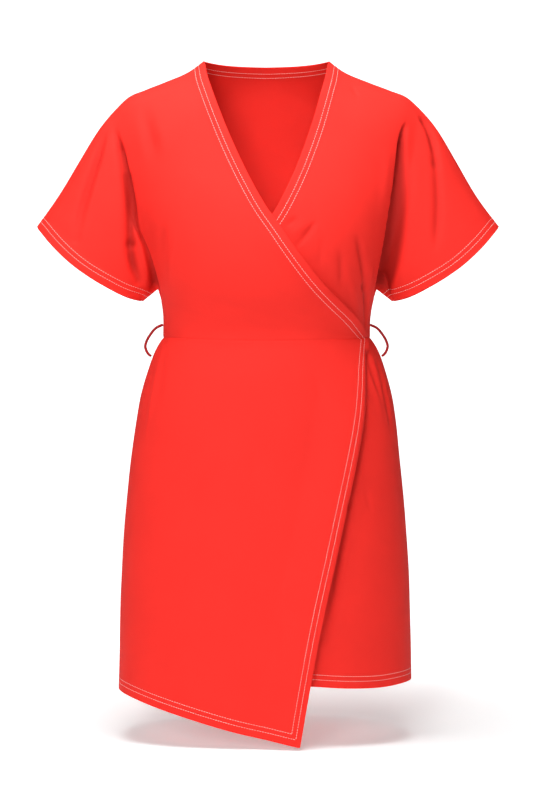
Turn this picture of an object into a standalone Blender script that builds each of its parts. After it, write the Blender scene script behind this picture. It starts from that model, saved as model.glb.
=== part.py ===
"""A short wrap dress with kimono sleeves, filled out as it is when it is worn.

Units are metres. The front faces -Y, +X is on the right of someone who looks at
the front, and +Z is up. The origin lies midway between the two points where the
neck edge crosses the shoulders. Heights are given as a drop below that level.

Every panel is a wall of cloth on one surface, the form of the filled dress. Right
and left are the wearer's, so the right front lies at -X. Panels that mirror each
other are worked out with "out", the distance towards their own side seam.
"""

import bpy
import numpy as np

# Cloth and seams
WALL = 0.0015
SEAM_GAP = 0.0003
UNDER_LAYER_INSET = 0.0040
UNDER_LAYER_EASE = 0.045
OVERLAP_LIFT = 0.0050
OVERLAP_LIFT_WIDTH = 0.070

# Form
NECK_HALF_WIDTH = 0.0862
BACK_NECK_DIP = 0.003
SHOULDER_ROLL = 0.080
SECTION_POWER = 2.3
SLEEVE_HALF_DEPTH = 0.048
SLEEVE_LEAN = 0.0018
BLEND_POWER = 5.0
SIDE_WAIST_DROP = 0.382
FRONT_WAIST_DIP = 0.0065
BACK_WAIST_DIP = 0.0020
SKIRT_LEAN = -0.0018

# Rows and columns of the panels
ROWS_TO_ARMPIT = 13
ROWS_OF_SIDE_SEAM = 6
FRONT_COLUMNS = 20
BACK_COLUMNS = 32
SLEEVE_COLUMNS = 9
SKIRT_ROWS = 16
SKIRT_FRONT_COLUMNS = 22
SKIRT_BACK_COLUMNS = 28

# Belt loops
LOOP_RADIUS = 0.002
LOOP_POINTS = 22

CLOTH_RED = (0.956, 0.037, 0.030, 1.0)
LOOP_RED = (0.70, 0.030, 0.030, 1.0)


def table(names, *rows):
    """A small table whose columns are read by name."""
    return dict(zip(names.split(), np.array(rows).T))


# The shoulder and the top of the sleeve. Inside the neck it runs on as a hidden
# rise that gives the back neck its round.
SHOULDER = table(
    "out     drop",
    (0.0000, -0.046),
    (0.0450, -0.030),
    (0.0862, 0.000),
    (0.1035, 0.0126),
    (0.1400, 0.029),
    (0.1690, 0.040),
    (0.1940, 0.051),
    (0.2060, 0.062),
    (0.2300, 0.090),
    (0.2590, 0.137),
    (0.2880, 0.186),
    (0.3185, 0.229),
)

# Sections of the body above the waist: half its width, and how far the cloth
# stands in front of and behind the side seams.
BODY = table(
    "drop   half_width front  back",
    (-0.050, 0.2150, 0.030, 0.045),
    (0.000, 0.2130, 0.045, 0.0605),
    (0.050, 0.2110, 0.062, 0.078),
    (0.100, 0.2060, 0.079, 0.091),
    (0.150, 0.1980, 0.096, 0.099),
    (0.200, 0.1870, 0.112, 0.101),
    (0.250, 0.1720, 0.122, 0.098),
    (0.316, 0.1511, 0.121, 0.091),
    (0.335, 0.1456, 0.117, 0.089),
    (0.352, 0.1430, 0.112, 0.088),
    (0.376, 0.1425, 0.106, 0.088),
    (0.390, 0.1425, 0.106, 0.088),
)

# Sections of the skirt, by the drop at its side seams
SKIRT = table(
    "drop   half_width front  back",
    (0.382, 0.1425, 0.106, 0.088),
    (0.390, 0.1480, 0.107, 0.091),
    (0.400, 0.1535, 0.109, 0.094),
    (0.411, 0.1580, 0.111, 0.097),
    (0.429, 0.1640, 0.114, 0.101),
    (0.462, 0.1730, 0.117, 0.107),
    (0.495, 0.1787, 0.119, 0.113),
    (0.545, 0.1850, 0.121, 0.120),
    (0.600, 0.1905, 0.123, 0.125),
    (0.678, 0.1963, 0.127, 0.128),
    (0.760, 0.2000, 0.130, 0.129),
    (0.940, 0.2022, 0.133, 0.130),
)

# The sleeve end, from the top of the sleeve to its lowest point
SLEEVE_END = table(
    "out     drop",
    (0.3185, 0.229),
    (0.2915, 0.2602),
    (0.2645, 0.2850),
    (0.2270, 0.3093),
    (0.1910, 0.3266),
    (0.1718, 0.3315),
)

# The line where the cloth of the body turns back into the sleeve
SLEEVE_TURN = table(
    "out     drop",
    (0.2060, 0.062),
    (0.1960, 0.144),
    (0.1790, 0.220),
    (0.1511, 0.316),
)

# The front edges, as x: the neck and wrap edges of the two bodice fronts, then the
# overlap edge of the skirt
WRAP_EDGE = table(
    "drop     x",
    (0.0000, -0.0862),
    (0.0244, -0.0815),
    (0.0467, -0.0742),
    (0.0892, -0.0584),
    (0.1311, -0.0408),
    (0.1727, -0.0208),
    (0.2070, -0.0018),
    (0.2361, 0.0182),
    (0.2643, 0.0372),
    (0.3078, 0.0709),
    (0.3564, 0.1182),
    (0.3830, 0.1405),
)
UNDER_WRAP_EDGE = table(
    "drop     x",
    (0.0000, 0.0862),
    (0.0244, 0.0815),
    (0.0466, 0.0755),
    (0.0892, 0.0636),
    (0.1311, 0.0494),
    (0.1727, 0.0325),
    (0.2070, 0.0152),
    (0.2400, -0.0065),
    (0.2643, -0.0245),
    (0.3078, -0.0620),
    (0.3564, -0.1140),
    (0.3830, -0.1405),
)
OVERLAP_EDGE = table(
    "drop     x",
    (0.3830, 0.1405),
    (0.4117, 0.1374),
    (0.4620, 0.1324),
    (0.6822, 0.0923),
    (0.7661, 0.0743),
    (0.8510, 0.0589),
    (0.9313, 0.0455),
)

# The hems: the over layer's falls to a corner
OVER_HEM = table(
    "x        drop",
    (-0.2035, 0.8640),
    (-0.1473, 0.8823),
    (-0.1024, 0.8957),
    (-0.0460, 0.9112),
    (0.0207, 0.9257),
    (0.0455, 0.9313),
)
UNDER_HEM = table(
    "x        drop",
    (-0.0500, 0.8506),
    (0.0581, 0.8507),
    (0.1173, 0.8545),
    (0.1556, 0.8550),
    (0.2035, 0.8506),
)
BACK_HEM = table(
    "x        drop",
    (-0.2035, 0.8640),
    (0.0000, 0.8600),
    (0.2035, 0.8506),
)

# The middle line of a belt loop, from above the waist seam to below it
BELT_LOOP = table(
    "out     drop",
    (0.1436, 0.3630),
    (0.1500, 0.3655),
    (0.1563, 0.3710),
    (0.1622, 0.3795),
    (0.1660, 0.3895),
    (0.1660, 0.3975),
    (0.1630, 0.4028),
    (0.1577, 0.4046),
)


# ---- Curves and grids -------------------------------------------------------


def read(at, places, values):
    """Read a table's column smoothly: a cubic through its rows, held at its ends."""
    slope = np.gradient(values, places)
    row = np.clip(np.searchsorted(places, at) - 1, 0, len(places) - 2)
    width = places[row + 1] - places[row]
    t = np.clip((at - places[row]) / width, 0.0, 1.0)
    start = values[row] * (1 + 2 * t) * (1 - t) ** 2
    end = values[row + 1] * t ** 2 * (3 - 2 * t)
    return start + end + width * t * (1 - t) * (slope[row] * (1 - t) - slope[row + 1] * t)


def smooth_step(t):
    t = np.clip(t, 0.0, 1.0)
    return t * t * (3 - 2 * t)


def close_at_both_ends(count):
    """Shares from 0 to 1, close together near both ends."""
    return (1 - np.cos(np.pi * np.linspace(0, 1, count))) / 2


def close_at_start(count):
    """Shares from 0 to 1 whose steps grow from the start."""
    t = np.linspace(0, 1, count)
    return 0.35 * t + 0.65 * t ** 2


def walk(path, shares):
    """Points at the given shares of a smooth curve's length."""
    steps = np.linalg.norm(np.diff(path, axis=0), axis=1)
    length = np.concatenate([[0.0], np.cumsum(steps)])
    places = np.asarray(shares) * length[-1]
    return np.stack([read(places, length, path[:, axis]) for axis in range(path.shape[1])], axis=1)


def columns(source, *names):
    return np.stack([source[name] for name in names], axis=1)


def distance_to(path, out, drop):
    """The shortest distance from each point to a path of straight steps."""
    place = np.stack([out, drop], axis=-1)[..., None, :]
    start = path[:-1]
    step = path[1:] - start
    along = np.sum((place - start) * step, axis=-1) / np.sum(step * step, axis=-1)
    nearest = start + np.clip(along, 0, 1)[..., None] * step
    return np.linalg.norm(place - nearest, axis=-1).min(axis=-1)


def fill(top, bottom, left, right):
    """Fill a grid between four edges. Each edge runs left to right, or top to bottom."""
    u = np.linspace(0, 1, len(top))[None, :, None]
    v = np.linspace(0, 1, len(left))[:, None, None]
    across = (1 - u) * left[:, None] + u * right[:, None]
    down = (1 - v) * top[None] + v * bottom[None]
    upper = (1 - u) * top[0] + u * top[-1]
    lower = (1 - u) * bottom[0] + u * bottom[-1]
    return across + down - (1 - v) * upper - v * lower


# ---- The form of the filled dress -------------------------------------------


def shoulder_drop(x):
    return read(np.abs(x), SHOULDER["out"], SHOULDER["drop"])


def waist_drop(x, side):
    dip = FRONT_WAIST_DIP if side == "front" else BACK_WAIST_DIP
    half_width = BODY["half_width"][-1]
    return SIDE_WAIST_DROP + dip * (1 - np.clip(x / half_width, -1, 1) ** 2)


def edge_x(drop):
    """Where the over layer's front edge lies."""
    wrap = read(drop, WRAP_EDGE["drop"], WRAP_EDGE["x"])
    overlap = read(drop, OVERLAP_EDGE["drop"], OVERLAP_EDGE["x"])
    return np.where(drop < WRAP_EDGE["drop"][-1], wrap, overlap)


def section_out(angle, half_width):
    """How far out a section's point lies, by its angle from the side seam."""
    cosine = np.cos(angle)
    return half_width * np.sign(cosine) * np.abs(cosine) ** (2 / SECTION_POWER)


def section_depth(out, half_width, depth):
    share = np.clip(np.abs(out) / half_width, 0, 1)
    return depth * (1 - share ** SECTION_POWER) ** (1 / SECTION_POWER)


def top_line():
    """The shoulder and the top of the sleeve, as a path of short steps."""
    out = np.linspace(NECK_HALF_WIDTH, SHOULDER["out"][-1], 60)
    return np.stack([out, shoulder_drop(out)], axis=1)


def side_seam(drop):
    return np.stack([read(drop, BODY["drop"], BODY["half_width"]), drop], axis=1)


def armpit():
    return columns(SLEEVE_TURN, "out", "drop")[-1]


def under_line():
    """The seam under the arm and down the side, as a path of short steps."""
    lowest = columns(SLEEVE_END, "out", "drop")[-1:]
    return np.concatenate([lowest, side_seam(np.linspace(armpit()[1], SIDE_WAIST_DROP, 16))])


def sleeve_depth(out, drop):
    """Half the thickness of the sleeve, which is round between its top and the seam below."""
    to_top = distance_to(top_line(), out, drop)
    to_seam = distance_to(under_line(), out, drop)
    lean = (to_seam - to_top) / (to_seam + to_top + 1e-9)
    return SLEEVE_HALF_DEPTH * np.sqrt(1 - lean ** 2)


def bodice_depth(x, drop, side):
    """How far the bodice stands from the plane of its side seams."""
    half_width = read(drop, BODY["drop"], BODY["half_width"])
    depth = read(drop, BODY["drop"], BODY[side])
    below = np.clip((drop - shoulder_drop(x)) / SHOULDER_ROLL, 0, 1)
    body = section_depth(x, half_width, depth) * np.sqrt(1 - (1 - below) ** 2)
    lowest_sleeve = SLEEVE_END["drop"][-1]
    above_waist = smooth_step((SIDE_WAIST_DROP - drop) / (SIDE_WAIST_DROP - lowest_sleeve))
    sleeve = sleeve_depth(np.abs(x), drop) * above_waist
    return (body ** BLEND_POWER + sleeve ** BLEND_POWER) ** (1 / BLEND_POWER)


def under_layer_inset(x, drop, depth):
    """How far the under layer lies inside the form, where the over layer covers it."""
    covered = smooth_step(1 + (edge_x(drop) - x) / UNDER_LAYER_EASE)
    edge_depth = 0.022
    return UNDER_LAYER_INSET * covered * smooth_step(depth / edge_depth)


def overlap_lift(x, drop):
    """How far the over skirt stands off near its overlap edge, more towards the hem."""
    near_edge = smooth_step(1 - (edge_x(drop) - x) / OVERLAP_LIFT_WIDTH)
    lower = np.clip((drop - OVERLAP_EDGE["drop"][2]) / 0.45, 0, 1)
    return OVERLAP_LIFT * near_edge * lower


# ---- Walls of cloth ---------------------------------------------------------


def squares(index):
    """The four-sided faces of a grid of point numbers."""
    corners = (index[:-1, :-1], index[1:, :-1], index[1:, 1:], index[:-1, 1:])
    return np.stack(corners, axis=-1).reshape(-1, 4)


def point_normals(points, faces):
    diagonals = points[faces[:, 2]] - points[faces[:, 0]], points[faces[:, 3]] - points[faces[:, 1]]
    face_normals = np.cross(*diagonals)
    face_normals /= np.linalg.norm(face_normals, axis=1, keepdims=True)
    normals = np.zeros_like(points)
    for corner in range(4):
        np.add.at(normals, faces[:, corner], face_normals)
    return normals / np.linalg.norm(normals, axis=1, keepdims=True)


def rim_steps(faces):
    """The steps between points that only one face has, as that face runs."""
    steps = {(a, b) for face in faces.tolist() for a, b in zip(face, face[1:] + face[:1])}
    return sorted(step for step in steps if step[::-1] not in steps)


def cloth_wall(name, points, faces, facing, seams=None, level=None, inset=0.0, colour=CLOTH_RED):
    """A wall of cloth whose outer face lies on the points, or inset from them.

    facing is -1 for a front panel and 1 for a back panel. seams marks the points
    that meet the other side's panel, and level those on the waist seam: there the
    wall's edge is square to its neighbour's.
    """
    normals = point_normals(points, faces)
    if np.sum(normals[:, 1]) * facing < 0:
        faces = faces[:, ::-1]
        normals = -normals
    if level is not None:
        normals[level, 2] = 0
    if seams is not None:
        normals[seams, 1] = 0
    normals /= np.linalg.norm(normals, axis=1, keepdims=True)
    depth_in = np.broadcast_to(inset, len(points))[:, None]
    outer = points - normals * depth_in
    inner = outer - normals * WALL
    count = len(points)
    rim = [(b, a, a + count, b + count) for a, b in rim_steps(faces)]
    everything = [tuple(face) for face in faces.tolist()]
    everything += [tuple(face) for face in (faces[:, [0, 3, 2, 1]] + count).tolist()]
    mesh = bpy.data.meshes.new(name)
    mesh.from_pydata(np.concatenate([outer, inner]).tolist(), [], everything + rim)
    mesh.shade_smooth()
    mesh.set_sharp_from_angle(angle=np.radians(40))
    mesh.materials.append(cloth_material(name, colour))
    panel = bpy.data.objects.new(name, mesh)
    bpy.context.scene.collection.objects.link(panel)
    return panel


def cloth_material(name, colour):
    material = bpy.data.materials.new(name + "_cloth")
    material.use_nodes = True
    surface = material.node_tree.nodes["Principled BSDF"]
    surface.inputs["Base Color"].default_value = colour
    surface.inputs["Roughness"].default_value = 0.85
    surface.inputs["Metallic"].default_value = 0.0
    return material


# ---- Bodice -----------------------------------------------------------------


def turn_and_side_rows():
    """Places down the sleeve turn to the armpit, then down the side seam to the waist."""
    turn = walk(columns(SLEEVE_TURN, "out", "drop"), close_at_both_ends(ROWS_TO_ARMPIT + 1))
    seam_end = SIDE_WAIST_DROP - SEAM_GAP / 2
    seam = side_seam(np.linspace(armpit()[1], seam_end, ROWS_OF_SIDE_SEAM + 1))
    return np.concatenate([turn, seam[1:]])


def sleeve_grid(turn):
    """The sleeve's cloth, from the turn to the sleeve end, as out and drop."""
    shares = np.linspace(0, 1, SLEEVE_COLUMNS + 1)
    top_out = turn[0, 0] + (SHOULDER["out"][-1] - turn[0, 0]) * shares
    top = np.stack([top_out, shoulder_drop(top_out)], axis=1)
    end = walk(columns(SLEEVE_END, "out", "drop"), close_at_both_ends(len(turn)))
    lower = turn[-1] + (end[-1] - turn[-1]) * shares[:, None]
    return fill(top, lower, turn, end)


def waist_line(side, first_angle, last_angle, count):
    """The bodice's lower edge, between two angles round from its own side seam."""
    angle = np.linspace(first_angle, last_angle, count)
    out = section_out(angle, BODY["half_width"][-1])
    return np.stack([out, waist_drop(out, side) - SEAM_GAP / 2], axis=1)


def join_sleeve(places, index, shut, sleeve, edge_index):
    """Add a sleeve's grid to a panel, sharing the column of points at the turn."""
    added = sleeve[:, 1:]
    numbers = len(places) + np.arange(added[..., 0].size).reshape(added.shape[:2])
    sleeve_index = np.concatenate([edge_index[:, None], numbers], axis=1)
    sleeve_shut = np.zeros(added.shape[:2], dtype=bool)
    sleeve_shut[[0, -1]] = True
    places = np.concatenate([places, added.reshape(-1, 2)])
    return places, index + [sleeve_index], np.concatenate([shut, sleeve_shut.ravel()])


def sleeve_lean(x, drop):
    """How far both sleeves hang towards the wearer's left."""
    outer = smooth_step((np.abs(x) - NECK_HALF_WIDTH) / 0.12)
    return SLEEVE_LEAN * outer * smooth_step((SIDE_WAIST_DROP - drop) / 0.05)


def bodice_points(x, drop, shut, side):
    """Put a panel's places on the form. Points that are shut lie on the side's own seam."""
    depth = bodice_depth(x, drop, side)
    depth[shut] = 0
    facing = -1 if side == "front" else 1
    place = x + sleeve_lean(x, drop), facing * (depth + SEAM_GAP / 2), -drop
    return np.stack(place, axis=1), depth


def front_bodice(name, own_side, edge, is_under):
    """One front: its body from its wrap edge to the side, and half a sleeve."""
    side_rows = turn_and_side_rows()
    wrap = np.stack([edge["x"] * own_side, edge["drop"]], axis=1)
    end_out = abs(WRAP_EDGE["x"][-1]) / BODY["half_width"][-1]
    end_angle = np.pi - np.arccos(end_out ** (SECTION_POWER / 2))
    bottom = waist_line("front", end_angle, 0, FRONT_COLUMNS + 1)
    wrap[-1] = bottom[0]
    armpit_share = 0.76
    shares = np.concatenate([
        armpit_share * close_at_both_ends(ROWS_TO_ARMPIT + 1),
        np.linspace(armpit_share, 1, ROWS_OF_SIDE_SEAM + 1)[1:],
    ])
    top_out = np.linspace(NECK_HALF_WIDTH, side_rows[0, 0], FRONT_COLUMNS + 1)
    top = np.stack([top_out, shoulder_drop(top_out)], axis=1)
    body = fill(top, bottom, walk(wrap, shares), side_rows)

    index = np.arange(body[..., 0].size).reshape(body.shape[:2])
    shut = np.zeros(index.shape, dtype=bool)
    shut[0] = True
    shut[ROWS_TO_ARMPIT:, -1] = True
    sleeve_rows = index[:ROWS_TO_ARMPIT + 1, -1]
    sleeve = sleeve_grid(side_rows[:ROWS_TO_ARMPIT + 1])
    places, grids, shut = join_sleeve(body.reshape(-1, 2), [index], shut.ravel(), sleeve, sleeve_rows)

    x = places[:, 0] * own_side
    points, depth = bodice_points(x, places[:, 1], shut, "front")
    inset = under_layer_inset(x, places[:, 1], depth) if is_under else 0.0
    faces = np.concatenate([squares(grid) for grid in grids])
    return cloth_wall(name, points, faces, -1, seams=shut, level=index[-1], inset=inset)


def back_bodice(name):
    """The back in one piece, with the back halves of both sleeves."""
    side_rows = turn_and_side_rows()
    other_rows = side_rows * (-1, 1)
    bottom = waist_line("back", np.pi, 0, BACK_COLUMNS + 1)
    top_x = np.linspace(-side_rows[0, 0], side_rows[0, 0], BACK_COLUMNS + 1)
    neck = BACK_NECK_DIP * (1 - np.clip(top_x / NECK_HALF_WIDTH, -1, 1) ** 2)
    on_shoulder = np.abs(top_x) >= NECK_HALF_WIDTH
    top = np.stack([top_x, np.where(on_shoulder, shoulder_drop(top_x), neck)], axis=1)
    body = fill(top, bottom, other_rows, side_rows)

    index = np.arange(body[..., 0].size).reshape(body.shape[:2])
    shut = np.zeros(index.shape, dtype=bool)
    shut[0] = on_shoulder
    shut[ROWS_TO_ARMPIT:, [0, -1]] = True
    places, grids, shut = body.reshape(-1, 2), [index], shut.ravel()
    sleeve = sleeve_grid(side_rows[:ROWS_TO_ARMPIT + 1])
    for own_side, column in ((1, -1), (-1, 0)):
        rows = index[:ROWS_TO_ARMPIT + 1, column]
        places, grids, shut = join_sleeve(places, grids, shut, sleeve * (own_side, 1), rows)
    grids[-1] = grids[-1][:, ::-1]

    points, _ = bodice_points(places[:, 0], places[:, 1], shut, "back")
    faces = np.concatenate([squares(grid) for grid in grids])
    return cloth_wall(name, points, faces, 1, seams=shut, level=index[-1])


# ---- Skirt ------------------------------------------------------------------


def skirt_panel(name, side, own_side, end_angle, hem, columns_across, lift=None, is_under=False):
    """A skirt panel, from its own side seam round to an angle that may change with the drop."""
    across = np.linspace(0, 1, columns_across + 1)[None, :]
    down = close_at_start(SKIRT_ROWS + 1)[:, None]
    waist_out = section_out(across * end_angle(SKIRT["drop"][0]), SKIRT["half_width"][0])
    top = waist_drop(waist_out, side) + SEAM_GAP / 2
    hem_level = hem["drop"].max()
    hem_width = read(hem_level, SKIRT["drop"], SKIRT["half_width"])
    hem_x = section_out(across * end_angle(hem_level), hem_width) * own_side
    drop = top + (read(hem_x, hem["x"], hem["drop"]) - top) * down
    level = drop - (top - SIDE_WAIST_DROP) * (1 - down)
    angle = end_angle(level) * across
    half_width = read(level, SKIRT["drop"], SKIRT["half_width"])
    lean = SKIRT_LEAN * smooth_step((level - SKIRT["drop"][3]) / 0.2)
    x = section_out(angle, half_width) * own_side + lean
    depth = read(level, SKIRT["drop"], SKIRT[side]) * np.abs(np.sin(angle)) ** (2 / SECTION_POWER)
    facing = -1 if side == "front" else 1
    points = np.stack([x, facing * (depth + SEAM_GAP / 2), -drop], axis=-1).reshape(-1, 3)

    index = np.arange(x.size).reshape(x.shape)
    shut = np.zeros(x.shape, dtype=bool)
    shut[:, 0] = True
    if side == "back":
        shut[:, -1] = True
    inset = np.zeros(x.shape)
    if is_under:
        inset += under_layer_inset(x, drop, depth)
    if lift is not None:
        inset -= lift(x, drop)
    return cloth_wall(name, points, squares(index), facing, shut.ravel(), index[0], inset.ravel())


def overlap_angle(drop):
    """How far round the section a front skirt reaches, from its own side seam to its edge."""
    half_width = read(drop, SKIRT["drop"], SKIRT["half_width"])
    beyond = read(drop, OVERLAP_EDGE["drop"], OVERLAP_EDGE["x"]) / half_width
    return np.pi - np.arccos(beyond ** (SECTION_POWER / 2))


def half_round(drop):
    return np.full_like(drop, np.pi)


# ---- Belt loops -------------------------------------------------------------


def belt_loop(name, own_side):
    """A rouleau of cloth that stands out from the side seam across the waist seam."""
    route = walk(columns(BELT_LOOP, "out", "drop"), np.linspace(0, 1, LOOP_POINTS))
    curve = bpy.data.curves.new(name, "CURVE")
    curve.dimensions = "3D"
    curve.bevel_depth = LOOP_RADIUS
    curve.bevel_resolution = 2
    curve.use_fill_caps = True
    spline = curve.splines.new("POLY")
    spline.points.add(LOOP_POINTS - 1)
    for point, (out, drop) in zip(spline.points, route):
        point.co = (own_side * out, 0.0, -drop, 1.0)
    curve.materials.append(cloth_material(name, LOOP_RED))
    loop = bpy.data.objects.new(name, curve)
    bpy.context.scene.collection.objects.link(loop)
    return loop


# ---- The dress --------------------------------------------------------------

for old in list(bpy.data.objects):
    bpy.data.objects.remove(old)

front_bodice("bodice_front_right", -1, WRAP_EDGE, is_under=False)
front_bodice("bodice_front_left", 1, UNDER_WRAP_EDGE, is_under=True)
back_bodice("bodice_back")
skirt_panel("skirt_front_right", "front", -1, overlap_angle, OVER_HEM, SKIRT_FRONT_COLUMNS,
            lift=overlap_lift)
skirt_panel("skirt_front_left", "front", 1, overlap_angle, UNDER_HEM, SKIRT_FRONT_COLUMNS,
            is_under=True)
skirt_panel("skirt_back", "back", 1, half_round, BACK_HEM, SKIRT_BACK_COLUMNS)
belt_loop("belt_loop_right", own_side=-1)
belt_loop("belt_loop_left", own_side=1)
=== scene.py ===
import bpy
import numpy as np
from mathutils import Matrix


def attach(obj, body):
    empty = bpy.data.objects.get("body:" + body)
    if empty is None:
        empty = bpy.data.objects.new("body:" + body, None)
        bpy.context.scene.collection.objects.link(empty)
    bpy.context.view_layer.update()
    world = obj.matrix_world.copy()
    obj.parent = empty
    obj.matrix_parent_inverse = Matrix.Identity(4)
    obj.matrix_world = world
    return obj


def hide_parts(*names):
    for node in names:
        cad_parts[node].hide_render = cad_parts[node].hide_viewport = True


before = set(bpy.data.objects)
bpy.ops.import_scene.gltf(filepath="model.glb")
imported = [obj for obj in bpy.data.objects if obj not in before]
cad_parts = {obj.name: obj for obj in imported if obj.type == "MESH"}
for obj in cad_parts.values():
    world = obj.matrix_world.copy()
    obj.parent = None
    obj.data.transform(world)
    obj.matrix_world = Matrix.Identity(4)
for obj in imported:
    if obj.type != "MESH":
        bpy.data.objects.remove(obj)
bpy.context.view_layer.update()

# Lengths are metres. "drop" is how far a place lies below the level of the shoulders, and "out"
# how far it lies towards its own side seam. Right and left are the wearer's: the right front is
# at -x. The front faces -y.


# ---- Back bodice ------------------------------------------------------------
# The back of the bodice, cut in one with the back halves of both sleeves, in red crepe. It is sewn
# to the fronts along the shoulders, sleeve tops and sides. Neck and sleeve ends are turned in.

def table(names, *rows):
    """A small table whose columns are read by name."""
    return dict(zip(names.split(), np.array(rows).T))


CLOTH = 0.0011
HEM_CLOTH = 0.0005
# FOLD_DEPTH is how deep a fold is when its painted shade is full, and FOLD_SHADE how much that
# painted shade darkens the crepe's colour
FOLD_DEPTH = 0.0095
FOLD_SHADE = 0.42
SEAM_GAP = 0.00002
SEAM_HOLD = 0.016
WAIST_HOLD = 0.012

NECK_HALF_WIDTH = 0.0862
BACK_NECK_DIP = 0.003
NECK_REACH = 0.016
SHOULDER_ROLL = 0.080
SECTION_POWER = 2.3
SLEEVE_HALF_DEPTH = 0.048
SLEEVE_LEAN = 0.0018
SLEEVE_LEAN_GROWTH, SLEEVE_LEAN_FADE = 0.12, 0.05
BLEND_POWER = 5.0
SIDE_WAIST_DROP = 0.382
WAIST_DIP = {"front": 0.0065, "back": 0.0020}
FACING = {"front": -1, "back": 1}

SHOULDER = table(
    "out     drop",
    (0.0000, -0.046),
    (0.0450, -0.030),
    (0.0862, 0.000),
    (0.1035, 0.0126),
    (0.1400, 0.029),
    (0.1690, 0.040),
    (0.1940, 0.051),
    (0.2060, 0.062),
    (0.2300, 0.090),
    (0.2590, 0.137),
    (0.2880, 0.186),
    (0.3185, 0.229),
)
BODY = table(
    "drop   half_width front  back",
    (-0.050, 0.2150, 0.030, 0.045),
    (0.000, 0.2130, 0.045, 0.0605),
    (0.050, 0.2110, 0.062, 0.078),
    (0.100, 0.2060, 0.079, 0.091),
    (0.150, 0.1980, 0.096, 0.099),
    (0.200, 0.1870, 0.112, 0.101),
    (0.250, 0.1720, 0.122, 0.098),
    (0.316, 0.1511, 0.121, 0.091),
    (0.335, 0.1456, 0.117, 0.089),
    (0.352, 0.1430, 0.112, 0.088),
    (0.376, 0.1425, 0.106, 0.088),
    (0.390, 0.1425, 0.106, 0.088),
)
SLEEVE_END = table(
    "out     drop",
    (0.3185, 0.229),
    (0.2915, 0.2602),
    (0.2645, 0.2850),
    (0.2270, 0.3093),
    (0.1910, 0.3266),
    (0.1718, 0.3315),
)
SLEEVE_TURN = table(
    "out     drop",
    (0.2060, 0.062),
    (0.1960, 0.144),
    (0.1790, 0.220),
    (0.1511, 0.316),
)
# The front edges, as x, that run on from the back neck: the over layer's and the under layer's
WRAP_EDGE = table(
    "drop     x",
    (0.0000, -0.0862),
    (0.0244, -0.0815),
    (0.0467, -0.0742),
    (0.0892, -0.0584),
    (0.1311, -0.0408),
    (0.1727, -0.0208),
    (0.2070, -0.0018),
    (0.2361, 0.0182),
    (0.2643, 0.0372),
    (0.3078, 0.0709),
    (0.3564, 0.1182),
    (0.3830, 0.1405),
)
UNDER_WRAP_EDGE = table(
    "drop     x",
    (0.0000, 0.0862),
    (0.0244, 0.0815),
    (0.0466, 0.0755),
    (0.0892, 0.0636),
    (0.1311, 0.0494),
    (0.1727, 0.0325),
    (0.2070, 0.0152),
    (0.2400, -0.0065),
    (0.2643, -0.0245),
    (0.3078, -0.0620),
    (0.3564, -0.1140),
    (0.3830, -0.1405),
)

# The lines of stitches, and the band of turned cloth that they hold
STITCH_ROWS = (0.0091, 0.0155)
HEM_DEPTH = 0.0180
STITCH_PITCH = 0.0036
STITCH_SIZE = (0.0031, 0.00054, 0.00040)
STITCH_LIFT = 0.22
STITCH_PULL, STITCH_PULL_WIDTH = 0.00026, 0.0013
HEM_PROUD, HEM_SOFTNESS = 0.00030, 0.0035
HEM_STEP = 0.0014
FOLDED_EDGE = 0.0004
SEAM_PROUD, SEAM_SINK = 0.00015, 0.00042

ROWS_TO_ARMPIT = 104
ROWS_OF_SIDE = 34
ARMPIT_SHARE = 0.76
BACK_COLUMNS = 200
SLEEVE_COLUMNS = 54


def read(at, places, values):
    """Read a table's column smoothly: a cubic through its rows, held at its ends."""
    slope = np.gradient(values, places)
    row = np.clip(np.searchsorted(places, at) - 1, 0, len(places) - 2)
    width = places[row + 1] - places[row]
    t = np.clip((at - places[row]) / width, 0.0, 1.0)
    start = values[row] * (1 + 2 * t) * (1 - t) ** 2
    end = values[row + 1] * t ** 2 * (3 - 2 * t)
    return start + end + width * t * (1 - t) * (slope[row] * (1 - t) - slope[row + 1] * t)


def smooth_step(t):
    t = np.clip(t, 0.0, 1.0)
    return t * t * (3 - 2 * t)


def closer(count, start=0.0, end=0.0, reach=0.06):
    """Shares from 0 to 1, closer together near the start and the end."""
    t = np.linspace(0, 1, 2000)
    crowd = 1 + start * np.exp(-(t / reach) ** 2) + end * np.exp(-((1 - t) / reach) ** 2)
    total = np.concatenate([[0.0], np.cumsum((crowd[1:] + crowd[:-1]) / 2)])
    return np.interp(np.linspace(0, total[-1], count), total, t)


def walked(path):
    """How far along a path each of its points lies."""
    steps = np.linalg.norm(np.diff(path, axis=0), axis=1)
    return np.concatenate([[0.0], np.cumsum(steps)])


def walk(path, shares):
    """Points at the given shares of a smooth curve's length."""
    length = walked(path)
    places = np.asarray(shares) * length[-1]
    return np.stack([read(places, length, path[:, axis]) for axis in range(path.shape[1])], axis=1)


def fill(top, bottom, left, right, across_shares, down_shares):
    """Fill a grid between four edges. Each edge runs left to right, or top to bottom."""
    u = across_shares[None, :, None]
    v = down_shares[:, None, None]
    across = (1 - u) * left[:, None] + u * right[:, None]
    down = (1 - v) * top[None] + v * bottom[None]
    upper = (1 - u) * top[0] + u * top[-1]
    lower = (1 - u) * bottom[0] + u * bottom[-1]
    return across + down - (1 - v) * upper - v * lower


def nearest(points, line):
    """Each point's shortest distance to a line of short steps, and how far along that is."""
    best = np.full(len(points), np.inf)
    share = np.zeros(len(points))
    for number, (start, end) in enumerate(zip(line[:-1], line[1:])):
        step = end - start
        along = np.clip((points - start) @ step / (step @ step), 0, 1)
        gap = np.linalg.norm(points - start - along[:, None] * step, axis=1)
        nearer = gap < best
        best[nearer] = gap[nearer]
        share[nearer] = (number + along[nearer]) / (len(line) - 1)
    return best, share


def shoulder_drop(x):
    return read(np.abs(x), SHOULDER["out"], SHOULDER["drop"])


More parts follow.
